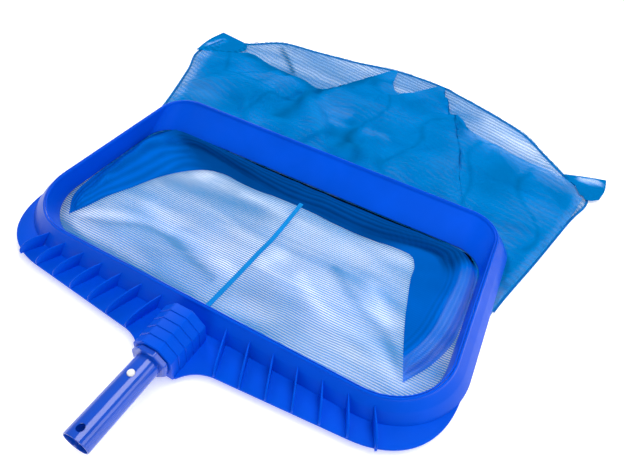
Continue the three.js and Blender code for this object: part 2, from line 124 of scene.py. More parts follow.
HEM_Z = 9.4
HEM_R = 2.5
HEM_GAP = 0.6
CORD_R = 1.45
WEFT_PITCH = 0.0031
WARP_PITCH = 0.0018
MOIRE_PITCH = 0.01
# how strongly the stored fold values paint shade and highlight on the nets and close or open them
FOLD_SHADE_STRENGTH = 0.6

# where the ring's near crest lies in the frame: its far foot is the outer frame's far side
RING_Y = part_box("outer_frame")[1].y / MM - CREST_DEPTH - SKIRT_OUT["far"]

# ---- colours, linear -------------------------------------------------------------------
FRAME_BLUE = (0.0, 0.088, 0.74)
TUBE_BLUE = (0.0, 0.075, 0.6)
NET_BLUE = (0.0, 0.22, 0.58)
DENSE_BLUE = (0.0, 0.19, 0.56)
THROAT_BLUE = (0.0, 0.14, 0.66)
TAPE_BLUE = (0.0, 0.24, 0.68)
SEAM_BLUE = (0.0, 0.15, 0.5)
SLEEVE_BLUE = (0.01, 0.02, 0.09)
CORD_WHITE = (0.8, 0.84, 0.88)
BUTTON_WHITE = (0.9, 0.9, 0.88)
STEEL_GREY = (0.55, 0.56, 0.58)
FLOOR_WHITE = (0.92, 0.92, 0.92)


def place(x, y, z):
    """A point given in ring millimetres, in the frame's metres."""
    return Vector((x * MM, (y + RING_Y) * MM, z * MM))


def handle_place(x, up, along):
    """A point given along the handle: across it, above its axis and out along it."""
    lean_c, lean_s = math.cos(TUBE_CLIMB), math.sin(TUBE_CLIMB)
    y = TUBE_START[0] - along * lean_c + up * lean_s
    z = TUBE_START[1] + along * lean_s + up * lean_c
    return place(x, y, z)


# ---- mesh helpers ----------------------------------------------------------------------
def new_object(name, data):
    obj = bpy.data.objects.new(name, data)
    bpy.context.scene.collection.objects.link(obj)
    return obj


def make_object(name, points, faces, material, smooth_angle=35):
    mesh = bpy.data.meshes.new(name)
    mesh.from_pydata([tuple(p) for p in points], [], faces)
    mesh.update()
    mesh.materials.append(material)
    recalculate_normals(mesh)
    shade(mesh, smooth_angle)
    return new_object(name, mesh)


def recalculate_normals(mesh):
    cage = bmesh.new()
    cage.from_mesh(mesh)
    bmesh.ops.recalc_face_normals(cage, faces=cage.faces)
    cage.to_mesh(mesh)
    cage.free()


def shade(mesh, smooth_angle):
    mesh.shade_smooth()
    if smooth_angle:
        mesh.set_sharp_from_angle(angle=math.radians(smooth_angle))


def freeze(obj):
    """Replaces the object's mesh by its evaluated one and drops its modifiers."""
    depsgraph = bpy.context.evaluated_depsgraph_get()
    mesh = bpy.data.meshes.new_from_object(obj.evaluated_get(depsgraph))
    obj.modifiers.clear()
    obj.data = mesh
    return obj


def bevelled(obj, width, angle):
    bevel = obj.modifiers.new("bevel", "BEVEL")
    bevel.width = width * MM
    bevel.segments = 2
    bevel.limit_method = "ANGLE"
    bevel.angle_limit = math.radians(angle)
    freeze(obj)
    shade(obj.data, 40)
    return obj


def cut(obj, cutters):
    for cutter in cutters:
        boolean = obj.modifiers.new("cut", "BOOLEAN")
        boolean.operation = "DIFFERENCE"
        boolean.solver = "EXACT"
        boolean.object = cutter
    freeze(obj)
    shade(obj.data, 35)
    for cutter in cutters:
        bpy.data.objects.remove(cutter)
    return obj


def join(name, objects):
    bpy.ops.object.select_all(action="DESELECT")
    for obj in objects:
        obj.select_set(True)
    bpy.context.view_layer.objects.active = objects[0]
    bpy.ops.object.join()
    objects[0].name = name
    objects[0].data.name = name
    return objects[0]


def loop_faces(rows, size, closed_rows):
    """Quads between neighbouring rows of closed loops that each have size points."""
    faces = []
    last = rows if closed_rows else rows - 1
    for i in range(last):
        j = (i + 1) % rows
        for k in range(size):
            n = (k + 1) % size
            faces.append((i * size + k, j * size + k, j * size + n, i * size + n))
    return faces


def capped_tube(name, points, size, material, smooth_angle=35):
    """A closed solid from rows of size points each, with a flat face at either end."""
    faces = loop_faces(len(points) // size, size, False)
    faces += [tuple(range(size)), tuple(range(len(points) - size, len(points)))]
    return make_object(name, points, faces, material, smooth_angle)


def grid_faces(rows, columns):
    faces = []
    for i in range(rows - 1):
        for k in range(columns - 1):
            a = i * columns + k
            faces.append((a, a + 1, a + columns + 1, a + columns))
    return faces


def angles(count):
    """Directions once round, evenly spaced."""
    return [2 * math.pi * i / count for i in range(count)]


def bezier(controls, count):
    """A curve from the first control point to the last, drawn toward those between."""
    t = np.linspace(0, 1, count)[:, None]
    line = [np.array(point, float) for point in controls]
    while len(line) > 1:
        line = [(1 - t) * a + t * b for a, b in zip(line, line[1:])]
    return line[0]


def toward(corner, goal, distance):
    """A point some way from a corner to the next one, but never half way."""
    length = np.linalg.norm(goal - corner)
    return corner + (goal - corner) / length * min(distance, 0.45 * length)


def rounded(points, radius, steps=3):
    """A closed outline with each corner rounded off."""
    points = np.array(points, float)
    result = []
    for i, corner in enumerate(points):
        start = toward(corner, points[i - 1], radius)
        end = toward(corner, points[(i + 1) % len(points)], radius)
        result += map(tuple, bezier([start, corner, end], steps + 1))
    return result


def bar_outline(width, low, high, radius):
    """A rounded rectangle that is centred sideways."""
    half = width / 2
    return rounded([(-half, low), (half, low), (half, high), (-half, high)], radius, 2)


def curve(points, count):
    """A soft curve through the points that spends the same share of count on each."""
    points = np.array(points, float)
    padded = np.vstack([2 * points[0] - points[1], points, 2 * points[-1] - points[-2]])
    at = np.linspace(0, len(points) - 1, count)
    first = np.minimum(at.astype(int), len(points) - 2)
    t = (at - first)[:, None]
    a, b, c, d = (padded[first + k] for k in range(4))
    return 0.5 * (2 * b + (c - a) * t + (2 * a - 5 * b + 4 * c - d) * t * t
                  + (3 * b - 3 * c + d - a) * t ** 3)


def smooth_line(points, count):
    """A soft curve through the points, as count points evenly spaced along it."""
    steps_between = 24
    return resample(curve(points, steps_between * (len(points) - 1) + 1), count)


def resample(points, count):
    gaps = np.linalg.norm(np.diff(points, axis=0), axis=1)
    travelled = np.concatenate([[0], np.cumsum(gaps)])
    wanted = np.linspace(0, travelled[-1], count)
    return np.stack([np.interp(wanted, travelled, points[:, k]) for k in range(points.shape[1])], 1)


def line_beyond(y, points, count):
    """The part of a smooth line that lies further out than y."""
    return np.array([spot for spot in smooth_line(points, count) if spot[1] > y])


# ---- materials -------------------------------------------------------------------------
def new_material(name, color, roughness, **settings):
    """A principled material. settings are named sockets set to constants."""
    material = bpy.data.materials.new(name)
    material.use_nodes = True
    shader = material.node_tree.nodes["Principled BSDF"]
    shader.inputs["Base Color"].default_value = (*color, 1)
    shader.inputs["Roughness"].default_value = roughness
    for setting, value in settings.items():
        feed(material, shader.inputs[setting.replace("_", " ")], value)
    return material


def feed(material, socket, value):
    """Links a socket to another node's output, or sets it to a constant."""
    if isinstance(value, bpy.types.NodeSocket):
        material.node_tree.links.new(value, socket)
    else:
        socket.default_value = value


def feed_shader(material, socket, value):
    feed(material, material.node_tree.nodes["Principled BSDF"].inputs[socket], value)


def add_node(material, kind, **inputs):
    node = material.node_tree.nodes.new(kind)
    for name, value in inputs.items():
        feed(material, node.inputs[name.replace("_", " ")], value)
    return node


def object_noise(material, scale, detail=3.0):
    """Noise laid out in the frame's metres, so it has the same scale on every piece."""
    spot = add_node(material, "ShaderNodeTexCoord").outputs["Object"]
    texture = add_node(material, "ShaderNodeTexNoise", Vector=spot, Scale=scale, Detail=detail)
    return texture.outputs["Fac"]


def vary_color(material, color, scale, amount):
    """Mottles the base colour between a darker and a lighter tone of itself."""
    ramp = add_node(material, "ShaderNodeValToRGB", Fac=object_noise(material, scale))
    stops = ((0.3, 1 - amount), (0.7, 1 + amount))
    for element, (position, tone) in zip(ramp.color_ramp.elements, stops):
        element.position = position
        element.color = (*[min(1, c * tone) for c in color], 1)
    feed_shader(material, "Base Color", ramp.outputs["Color"])


def vary_roughness(material, scale, low, high):
    spread = add_node(material, "ShaderNodeMapRange", Value=object_noise(material, scale),
                      From_Min=0.3, From_Max=0.7, To_Min=low, To_Max=high)
    feed_shader(material, "Roughness", spread.outputs["Result"])


def add_bump(material, height, strength, distance):
    bump = add_node(material, "ShaderNodeBump", Height=height, Strength=strength,
                    Distance=distance)
    feed_shader(material, "Normal", bump.outputs["Normal"])


def plastic_material(name, color, roughness):
    tint = (*[min(1, 0.05 + c) for c in color], 1)
    material = new_material(name, color, roughness, Specular_IOR_Level=0.25, Specular_Tint=tint)
    vary_color(material, color, 14, 0.07)
    vary_roughness(material, 60, roughness - 0.05, roughness + 0.07)
    add_bump(material, object_noise(material, 900, 2), 0.12, 0.0003)
    return material


def anodised_material():
    material = new_material("tube_metal", TUBE_BLUE, 0.25, Coat_Weight=1.0, Coat_Roughness=0.1,
                            Coat_IOR=1.65, Specular_IOR_Level=0.0)
    vary_color(material, TUBE_BLUE, 30, 0.06)
    vary_roughness(material, 200, 0.16, 0.27)
    return material


def steel_material(name):
    material = new_material(name, STEEL_GREY, 0.3, Metallic=1.0)
    vary_roughness(material, 300, 0.22, 0.4)
    return material


def combine(material, operation, first, second=0):
    """The result of a math node, whose inputs are numbers or the outputs of other nodes."""
    node = add_node(material, "ShaderNodeMath")
    node.operation = operation
    feed(material, node.inputs[0], first)
    feed(material, node.inputs[1], second)
    return node.outputs["Value"]


def cloth_axis(material, axis):
    """One coordinate of the cloth's own map, in metres."""
    cloth_map = add_node(material, "ShaderNodeUVMap").outputs["UV"]
    return add_node(material, "ShaderNodeSeparateXYZ", Vector=cloth_map).outputs[axis]


def thread_wave(material, axis, pitch):
    """From 0 between two threads to 1 on a thread."""
    turns = combine(material, "MULTIPLY", cloth_axis(material, axis), 2 * math.pi / pitch)
    share = add_node(material, "ShaderNodeMapRange", Value=combine(material, "SINE", turns),
                     From_Min=-1.0, From_Max=1.0)
    return share.outputs["Result"]


def crease_light_streaks(material, lean):
    """Noise drawn out sideways: painted light and shade in soft streaks, like creases across the
    cloth.
    """
    spot = add_node(material, "ShaderNodeTexCoord").outputs["Object"]
    turn = add_node(material, "ShaderNodeMapping", Vector=spot, Rotation=(0, 0, lean),
                    Scale=(5, 24, 1))
    texture = add_node(material, "ShaderNodeTexNoise", Vector=turn.outputs["Vector"], Scale=1,
                       Detail=2, Distortion=0.6)
    return texture.outputs["Fac"]


def moire_wave(material, pitch, wander):
    """Slow wavy bands, as two layers of threads make where they cross at a slight angle."""
    turns = combine(material, "MULTIPLY", cloth_axis(material, "Y"), 2 * math.pi / pitch)
    lean = combine(material, "MULTIPLY", cloth_axis(material, "X"), 0.5 * math.pi / pitch)
    drift = combine(material, "MULTIPLY", object_noise(material, 13, 1), wander)
    phase = combine(material, "ADD", combine(material, "ADD", turns, lean), drift)
    return combine(material, "SINE", phase)


def paint_fold_shade(material, alpha):
    """Painted shade and highlight: where the stored fold value is below 0, closes the cloth and
    darkens it; above 0, opens it and lightens it.
    """
    shader = material.node_tree.nodes["Principled BSDF"]
    fold_shade = add_node(material, "ShaderNodeAttribute")
    fold_shade.attribute_name = "fold_shade"
    change = combine(material, "MULTIPLY", fold_shade.outputs["Fac"], FOLD_SHADE_STRENGTH)
    color = shader.inputs["Base Color"].links[0].from_socket
    tone = add_node(material, "ShaderNodeHueSaturation", Color=color,
                    Value=combine(material, "ADD", change, 1))
    feed_shader(material, "Base Color", tone.outputs["Color"])
    return combine(material, "SUBTRACT", alpha, change)


def net_material(name, color, cover, thread, light_streak_swing, moire=0):
    """Woven see-through net. cover is the share of light its threads stop, and the next three say
    how far it swings between thread and gap, in painted light and shade streaks from patch to
    patch, and in moire bands."""
    material = new_material(name, color, 0.6, Specular_IOR_Level=0.0)
    vary_color(material, color, 16, 0.08)
    across = combine(material, "MULTIPLY", thread_wave(material, "Y", WEFT_PITCH), 0.9)
    along = combine(material, "MULTIPLY", thread_wave(material, "X", WARP_PITCH), 0.1)
    weave = combine(material, "ADD", across, along)
    swing = combine(material, "MULTIPLY", combine(material, "SUBTRACT", weave, 0.5), thread)
    # painted light and shade: soft streaks that open and close the net, like creases
    patches = combine(material, "SUBTRACT", crease_light_streaks(material, 0.3), 0.5)
    alpha = combine(material, "ADD", swing, combine(material, "MULTIPLY", patches, light_streak_swing))
    if moire:
        bands = combine(material, "MULTIPLY", moire_wave(material, MOIRE_PITCH, 14), moire)
        alpha = combine(material, "ADD", alpha, bands)
    alpha = paint_fold_shade(material, combine(material, "ADD", alpha, cover))
    alpha.node.use_clamp = True
    feed_shader(material, "Alpha", alpha)
    add_bump(material, weave, 0.3, 0.0002)
    return material


def tape_material(name, color):
    material = new_material(name, color, 0.75, Specular_IOR_Level=0.1)
    vary_color(material, color, 40, 0.1)
    add_bump(material, object_noise(material, 1400, 1), 0.4, 0.0003)
    return material


FRAME_PLASTIC = plastic_material("frame_plastic", FRAME_BLUE, 0.34)
SLEEVE_PLASTIC = plastic_material("sleeve_plastic", SLEEVE_BLUE, 0.5)
BUTTON_PLASTIC = plastic_material("button_plastic", BUTTON_WHITE, 0.35)
TUBE_METAL = anodised_material()
SPRING_STEEL = steel_material("spring_steel")
SCREW_STEEL = steel_material("screw_steel")
SINGLE_NET = net_material("single_net", NET_BLUE, 0.62, 0.52, 0.8)
END_NET = net_material("end_net", NET_BLUE, 0.3, 0.16, 0.3, 0.26)
DENSE_NET = net_material("dense_net", DENSE_BLUE, 0.99, 0.12, 0.14, 0.06)
THROAT_NET = net_material("throat_net", THROAT_BLUE, 0.995, 0.03, 0.02)
CENTRE_TAPE = tape_material("centre_tape", TAPE_BLUE)
SEAM_TAPE = tape_material("seam_tape", SEAM_BLUE)
HEM_CORD = tape_material("hem_cord", CORD_WHITE)


def finish_piece(obj, node, body="root"):
    """Common bookkeeping: what the piece rides on, and hiding the CAD part it stands for."""
    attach(obj, body)
    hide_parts(node)
    return obj


# ---- ring ------------------------------------------------------------------------------
def by_direction(amounts, nx, ny):
    near, far = max(0.0, -ny) ** 2, max(0.0, ny) ** 2
    return amounts["near"] * near + amounts["side"] * nx * nx + amounts["far"] * far


def corner_circles(half_x, near_y, far_y, near_r, far_r):
    """Centre, radius and first angle of the four corners, counter-clockwise from near right."""
    return [
        (half_x - near_r, near_y + near_r, near_r, -0.5 * math.pi),
        (half_x - far_r, far_y - far_r, far_r, 0.0),
        (far_r - half_x, far_y - far_r, far_r, 0.5 * math.pi),
        (near_r - half_x, near_y + near_r, near_r, math.pi),
    ]


def ring_line(circles, corner_steps, straight_steps):
    """Points (x, y, nx, ny) once round a rounded rectangle, with their outward directions."""
    line = []
    for k, (x, y, radius, start) in enumerate(circles):
        for i in range(corner_steps + 1):
            angle = start + 0.5 * math.pi * i / corner_steps
            nx, ny = math.cos(angle), math.sin(angle)
            line.append((x + radius * nx, y + radius * ny, nx, ny))
        next_x, next_y, next_r, _ = circles[(k + 1) % 4]
        goal = (next_x + next_r * nx, next_y + next_r * ny, nx, ny)
        for i in range(1, straight_steps):
            t = i / straight_steps
            line.append(tuple(a + (b - a) * t for a, b in zip(line[-i], goal)))
    return np.array(line)


CREST = corner_circles(CREST_HALF_WIDTH, 0, CREST_DEPTH, NEAR_CORNER_R, FAR_CORNER_R)
RIM = corner_circles(RIM_HALF_WIDTH, RIM_NEAR_Y, RIM_FAR_Y, RIM_NEAR_R, RIM_FAR_R)


def scoop_point(crest, rim, z, out=0.0):
    """A point on the scoop's inner face at a height, or out from that face."""
    lip_z = CREST_Z - LIP_DROP
    share = min(1, max(0, (lip_z - z) / (lip_z - RIM_Z)))
    spot = crest[:2] + (rim[:2] - crest[:2]) * share
    spot = spot + crest[2:] * (out - LIP_INSET * (1 - share))
    return (*spot, z)


def skirt_outline(crest, _):
    """The outer wall, which follows the crest alone, from its foot up and back down inside."""
    foot = by_direction(SKIRT_OUT, *crest[2:])
    section = [
        (foot - SHELL, FOOT_Z), (foot, FOOT_Z), (foot, FLANGE_TOP + 0.5),
        (foot * 0.52 + 0.6, 24), (2.2, 33.2), (1.5, 35.3), (0.2, CREST_Z), (-1.1, 35.9),
        (-1.2, 33.4), (foot * 0.52 - 2, 22.5), (foot - SHELL, FLANGE_TOP),
    ]
    return [(*(crest[:2] + crest[2:] * out), z) for out, z in section]


def liner_outline(crest, rim):
    """The scoop's wall, from the rim up outside, over the lip and back down inside."""
    lip = [(*(crest[:2] + crest[2:] * out), z)
           for out, z in ((-1.4, 31.5), (-1.4, 35.85), (-2.4, 35.6), (-3.3, 34.6))]
    return [
        scoop_point(crest, rim, RIM_Z), scoop_point(crest, rim, RIM_Z, SHELL),
        scoop_point(crest, rim, 20, SHELL), *lip,
        scoop_point(crest, rim, 32.4), scoop_point(crest, rim, 20),
    ]


def hem_point(crest, rim, angle, radius):
    """A point round the hem, which runs just outside the scoop's wall."""
    middle = scoop_point(crest, rim, HEM_Z + HEM_R, SHELL + HEM_R + HEM_GAP)
    out, lift = radius * math.cos(angle), radius * math.sin(angle)
    return (*(np.array(middle[:2]) + crest[2:] * out), HEM_Z + lift)


def tube_outline(radius):
    return lambda crest, rim: [hem_point(crest, rim, angle, radius) for angle in angles(16)]


def loft_ring(name, outline, material, softness=1.2, corner_steps=30, straight_steps=8):
    """Sweeps an outline, worked out at each station, once round the ring."""
    crest_line = ring_line(CREST, corner_steps, straight_steps)
    rim_line = ring_line(RIM, corner_steps, straight_steps)
    points = []
    for crest, rim in zip(crest_line, rim_line):
        section = rounded(outline(crest, rim), softness)
        points += [place(*point) for point in section]
    faces = loop_faces(len(crest_line), len(section), True)
    return make_object(name, points, faces, material)


# ---- flange ----------------------------------------------------------------------------
def flange_edge_y(x):
    return FLANGE_EDGE_Y + FLANGE_EDGE_SLOPE * (x - FLANGE_INNER_X)


def flange_outer_half():
    """The flange's edge from the middle to the right, in ring millimetres."""
    edge_start = (FLANGE_INNER_X, FLANGE_EDGE_Y)
    corner = (FLANGE_CORNER_X, flange_edge_y(FLANGE_CORNER_X))
    tongue = (FLANGE_TONGUE_X, FLANGE_TONGUE_Y)
    under_socket = bezier([(0, FLANGE_TONGUE_Y), (12, FLANGE_TONGUE_Y), tongue], 5)[:-1]
    fillet = bezier([tongue, (36, -56), edge_start], 14)[:-1]
    straight = bezier([edge_start, corner], 12)[:-1]
    turn = bezier([corner, (250, -36), (288, -10), (FLANGE_WIDEST_X, FLANGE_END_Y)], 30)
    return np.vstack([under_socket, fillet, straight, turn]), len(turn)


def flange_inner_half(count, turn_count):
    """Where the flange meets the skirt, point for point beside its outer edge."""
    x, y, radius, start = CREST[0]
    straight_count = count - turn_count
    inset = SKIRT_OUT["near"] - FLANGE_UNDER_SKIRT
    inner = [(x * i / straight_count, -inset) for i in range(straight_count)]
    reach = radius + SKIRT_OUT["side"] - FLANGE_UNDER_SKIRT
    last_angle = math.asin((FLANGE_END_Y - y) / reach)
    for i in range(turn_count):
        angle = start + (last_angle - start) * i / (turn_count - 1)
        nx, ny = math.cos(angle), math.sin(angle)
        out = radius + by_direction(SKIRT_OUT, nx, ny) - FLANGE_UNDER_SKIRT
        inner.append((x + out * nx, y + out * ny))
    return np.array(inner)


def flange():
    outer, turn_count = flange_outer_half()
    inner = flange_inner_half(len(outer), turn_count)
    mirror = np.array([-1, 1])
    outer = np.vstack([(outer * mirror)[:0:-1], outer])
    inner = np.vstack([(inner * mirror)[:0:-1], inner])
    bottom = FLANGE_TOP - FLANGE_THICK
    points = []
    for a, b in zip(inner, outer):
        run = np.linalg.norm(b - a)
        toward = (b - a) / max(run, 1e-6)
        outline = rounded([(0, bottom), (run, bottom), (run, FLANGE_TOP), (0, FLANGE_TOP)], 1)
        points += [place(*(a + toward * out), z) for out, z in outline]
    return capped_tube("flange", points, len(outline), FRAME_PLASTIC)


# ---- ribs ------------------------------------------------------------------------------
def rib_profile(run):
    arch = bezier([(run - 4, RIB_HEIGHT), (4, RIB_HEIGHT - 2.5), (0.4, RIB_LIP)], 14)
    return [(0.4, -1), (run, -1), (run + 13, RIB_HEIGHT), *map(tuple, arch)]


def rib(index, side):
    outer_x = FLANGE_INNER_X + 0.6 + RIB_PITCH * index
    outer_y = flange_edge_y(outer_x)
    along = np.array([-side * RIB_FAN, -SKIRT_OUT["near"] - outer_y])
    run = np.linalg.norm(along)
    along = along / run
    across = np.array([-along[1], along[0]])
    start = np.array([side * outer_x, outer_y])
    profile = rib_profile(run)
    points = []
    for half in (-0.5, 0.5):
        for out, z in profile:
            # a moulded blade is a little thinner at its top, so that it leaves the tool
            draft = 1 - 0.3 * max(0, z) / RIB_HEIGHT
            spot = start + along * out + across * half * RIB_THICK * draft
            points.append(place(*spot, FLANGE_TOP + z))
    return bevelled(capped_tube("rib", points, len(profile), FRAME_PLASTIC), 0.5, 50)


# ---- handle socket ----------------------------------------------------------------------
def tunnel_outline(radius, floor):
    """Half an octagon on upright sides, which reach down to floor below the axis."""
    half_flat = radius * math.sin(math.pi / 8)
    reach = radius * math.cos(math.pi / 8)
    return rounded([
        (reach, floor), (reach, half_flat), (half_flat, reach),
        (-half_flat, reach), (-reach, half_flat), (-reach, floor),
    ], 1.6)


def bore_outline(outline, radius):
    """The same number of points, moved in or out onto a circle."""
    return [tuple(np.array(p) / np.linalg.norm(p) * radius) for p in outline]


def socket_floor(along):
    axis_z = TUBE_START[1] + along * math.sin(TUBE_CLIMB)
    return SOCKET_FLOOR_Z - axis_z + 0.2


def socket_rows():
    """(outline, distance along the handle) from the closed end out to the mouth and in."""
    length = (SOCKET_TO - SOCKET_FROM) / SOCKET_STEPS
    soft = 0.7
    rows = []
    for i in range(SOCKET_STEPS):
        start = SOCKET_FROM + length * i
        radius = SOCKET_R - SOCKET_STEP_DROP * i
        for radius_cut, along in ((soft, start), (0, start + soft), (0, start + length - soft),
                                  (soft, start + length)):
            rows.append((tunnel_outline(radius - radius_cut, socket_floor(along)), along))
    mouth = rows[-1][0]
    rows.append((bore_outline(mouth, SOCKET_BORE_R), SOCKET_TO))
    rows.append((bore_outline(mouth, SOCKET_BORE_R), TUBE_FROM - 1))
    return rows


def handle_points(rows):
    """The points of rows given as an outline across the handle and its distance along."""
    return [handle_place(x, up, along) for outline, along in rows for x, up in outline]


def socket():
    rows = socket_rows()
    return capped_tube("socket", handle_points(rows), len(rows[0][0]), FRAME_PLASTIC, 28)


def outer_frame():
    parts = [loft_ring("skirt", skirt_outline, FRAME_PLASTIC), flange(), socket()]
    for index in range(RIBS_PER_SIDE):
        parts += [rib(index, 1), rib(index, -1)]
    moulding = join("frame_moulding", parts)
    return finish_piece(moulding, "outer_frame")


def scoop_liner():
    liner = loft_ring("scoop_ring", liner_outline, FRAME_PLASTIC)
    return finish_piece(liner, "scoop_liner")


# ---- handle ----------------------------------------------------------------------------
def turn_across_handle(name, profile, along, segments, material, down=False):
    """Turns an open profile of (radius, height) points round a line across the handle."""
    sign = -1 if down else 1
    points = [handle_place(radius * math.cos(angle), sign * up, along + radius * math.sin(angle))
              for radius, up in profile for angle in angles(segments)]
    return capped_tube(name, points, segments, material)


def handle_tube():
    inner, segments = TUBE_R - TUBE_WALL, 96
    outline = rounded([(inner, TUBE_FROM), (TUBE_R, TUBE_FROM), (TUBE_R, TUBE_TO),
                       (inner, TUBE_TO)], 0.35)
    points = [handle_place(radius * math.cos(angle), radius * math.sin(angle), along)
              for angle in angles(segments) for radius, along in outline]
    tube = make_object("tube", points, loop_faces(segments, len(outline), True), TUBE_METAL)
    drill = [(HOLE_R, -TUBE_R - 5), (HOLE_R, TUBE_R + 5)]
    cutters = [turn_across_handle("drill", drill, along, 48, TUBE_METAL)
               for along in (BUTTON_AT, SPARE_HOLE_AT)]
    return finish_piece(cut(tube, cutters), "handle_tube")


def octagon(radius):
    turn = math.pi / 8
    return [(radius * math.cos(a + turn), radius * math.sin(a + turn)) for a in angles(8)]


def collar():
    soft = 0.8
    outline = rounded(octagon(COLLAR_R), 1.4)
    small = rounded(octagon(COLLAR_R - soft), 1.4)
    bore = bore_outline(outline, TUBE_R + 0.3)
    rows = [(bore, COLLAR_FROM), (small, COLLAR_FROM), (outline, COLLAR_FROM + soft),
            (outline, COLLAR_TO - soft), (small, COLLAR_TO), (bore, COLLAR_TO)]
    faces = loop_faces(len(rows), len(outline), True)
    ring = make_object("collar", handle_points(rows), faces, TUBE_METAL, 24)
    return finish_piece(ring, "handle_collar")


def clip_button(name, node, body, down):
    foot, plate_r, plate_thick, soft, dome = LEG_UP + 0.3, 5, 1.4, 0.2, 1.6
    crown = [(BUTTON_R * math.cos(a), BUTTON_TOP - dome + dome * math.sin(a))
             for a in np.linspace(0, 0.47 * math.pi, 9)]
    profile = [(soft, foot), (plate_r - soft, foot), (plate_r, foot + soft),
               (plate_r, foot + plate_thick - soft), (plate_r - soft, foot + plate_thick),
               (BUTTON_R, foot + plate_thick), *crown]
    button = turn_across_handle(name, profile, BUTTON_AT, 40, BUTTON_PLASTIC, down)
    return finish_piece(button, node, body)


def clip_leg(name, down):
    """One leg of the V spring, from the middle of its bend to its tip under the button."""
    sign = -1 if down else 1
    bend_at, bend_r, knee_at, tip_at = 32, 3.5, 66, 83
    mid = bend_r - LEG_THICK / 2
    line = [(bend_at - mid * math.cos(a), mid * math.sin(a))
            for a in np.linspace(0, 0.5 * math.pi, 7)]
    top = LEG_UP - LEG_THICK / 2
    line += [(bend_at + (knee_at - bend_at) * t, mid + (top - mid) * t)
             for t in np.linspace(0.1, 1, 9)]
    line += [(knee_at + (tip_at - knee_at) * t, top) for t in (0.3, 0.6, 1)]
    section = bar_outline(LEG_WIDTH, -0.5, 0.5, 0.2)
    points = [handle_place(x, sign * (up + lift * LEG_THICK), along)
              for along, up in line for x, lift in section]
    leg = capped_tube(name, points, len(section), SPRING_STEEL)
    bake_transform(leg)
    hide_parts("clip_spring")
    return leg


def handle_parts():
    handle_tube()
    collar()
    clip_button("snap_button_upper", "button_upper", "upper_button", False)
    clip_button("snap_button_lower", "button_lower", "lower_button", True)
    clip_leg("clip_leg_upper", False)
    clip_leg("clip_leg_lower", True)


# ---- CAD pieces that keep their shape ---------------------------------------------------
def dress_cad_nodes():
    for name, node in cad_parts.items():
        if "screw" in name:
            dress(node, SCREW_STEEL)
    dress(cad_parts["socket_sleeve"], SLEEVE_PLASTIC)


def dress(node, material):
    if not node.data.materials:
        node.data.materials.append(material)
    for slot in node.material_slots:
        slot.material = material


# ---- bag: its lines, in ring millimetres ------------------------------------------------
LEFT_SEAM = [(-254, 24), (-278, 90), (-290, 180), (-303, 290), (-350, 432), (-381, 506),
             (-372, 580)]
RIGHT_SEAM = [(254, 24), (278, 90), (294, 170), (305, 215), (334, 310), (366, 420), (385, 474),
              (382, 508)]
END_SEAM = [(-372, 580), (-323, 596), (-264, 648), (-186, 659), (-100, 671), (-9, 691),
            (82, 688), (124, 675), (196, 648), (262, 616), (306, 572), (346, 531), (382, 508)]
NEAR_EDGE = [(-254, 24), (-216, 10), (-110, 6), (0, 6), (110, 6), (216, 10), (254, 24)]
END_NEAR = [(-300, 280), (-280, 310), (-220, 322), (-110, 324), (0, 324), (110, 324), (220, 322),
            (285, 300), (303, 215)]
FOLD_LINE = [(-372, 512), (-320, 534), (-284, 556), (-225, 538), (-152, 530), (-104, 522),
             (-58, 600), (-14, 679), (2, 620), (30, 600), (88, 680), (96, 622), (167, 560),
             (269, 526), (340, 518), (380, 492)]
FOLD_LEFT = [(-269, 100), (-280, 150), (-289, 210), (-297, 290), (-330, 400), (-372, 512)]
FOLD_RIGHT = [(269, 100), (283, 140), (294, 175), (304, 215), (333, 310), (364, 420), (380, 492)]
# where the upper layer leaves the ring, at the rim of the scoop
RIM_ARCH = [(-269, 170), (-268, 228), (-256, 256), (-228, 267), (-110, 268), (0, 268),
            (110, 268), (228, 267), (256, 256), (268, 228), (269, 170)]
RIM_LINE = [(-269, 100), *RIM_ARCH, (269, 100)]
# pairs of places: on the rim, and where the slack cloth that bulges from there ends
ROLL_OUTER = [(-240, 42), (-262, 72), (-269, 112), *RIM_ARCH, (266, 122), (253, 82), (231, 44)]
ROLL_INNER = [(-240, 42), (-231, 66), (-224, 92), (-210, 122), (-190, 166), (-160, 203),
              (-126, 219), (-66, 217), (4, 221), (99, 216), (170, 222), (188, 208), (192, 182),
              (198, 155), (207, 118), (218, 82), (231, 44)]

# painted light and shade along folds in the cloth: strength (below 0 painted shade, above 0 painted
# highlight), width and line
LOWER_FOLD_SHADE = [
    (0.24, 9, [(-236, 46), (-189, 77), (-114, 95), (-57, 90), (0, 78)]),
    (0.18, 14, [(-162, 118), (-116, 98)]),
    (-0.3, 5, [(-231, 45), (-191, 58), (-146, 80), (-104, 83), (-21, 58)]),
    (0.35, 12, [(-150, 208), (-138, 214)]),
    (0.2, 8, [(-70, 204), (-10, 212)]),
    (0.22, 12, [(16, 116), (30, 132)]),
    (0.28, 8, [(228, 46), (180, 74), (120, 84), (70, 116)]),
    (-0.25, 6, [(226, 50), (190, 92), (150, 112), (100, 150)]),
    (0.25, 10, [(150, 150), (186, 110)]),
    (-0.18, 20, [(-170, 172), (-90, 184), (-40, 186)]),
    (-0.16, 24, [(30, 66), (80, 72)]),
    (0.16, 24, [(110, 120), (160, 110)]),
    (0.55, 26, [(200, 606), (270, 572), (350, 520)]),
]
DENSE_FOLD_SHADE = [
    (-0.5, 12, [(-281, 548), (-226, 534), (-160, 530), (-108, 512), (-83, 545), (-42, 620)]),
    (-0.4, 12, [(-103, 504), (-114, 449), (-126, 391)]),
    (0.3, 34, [(-225, 480), (-200, 486)]),
    (0.25, 26, [(-80, 396), (-50, 402)]),
    (0.45, 7, [(-50, 466), (-20, 462)]),
    (0.45, 7, [(-42, 436), (-8, 434)]),
    (0.4, 8, [(24, 436), (60, 428)]),
    (-0.4, 11, [(-8, 440), (6, 404), (6, 369)]),
]
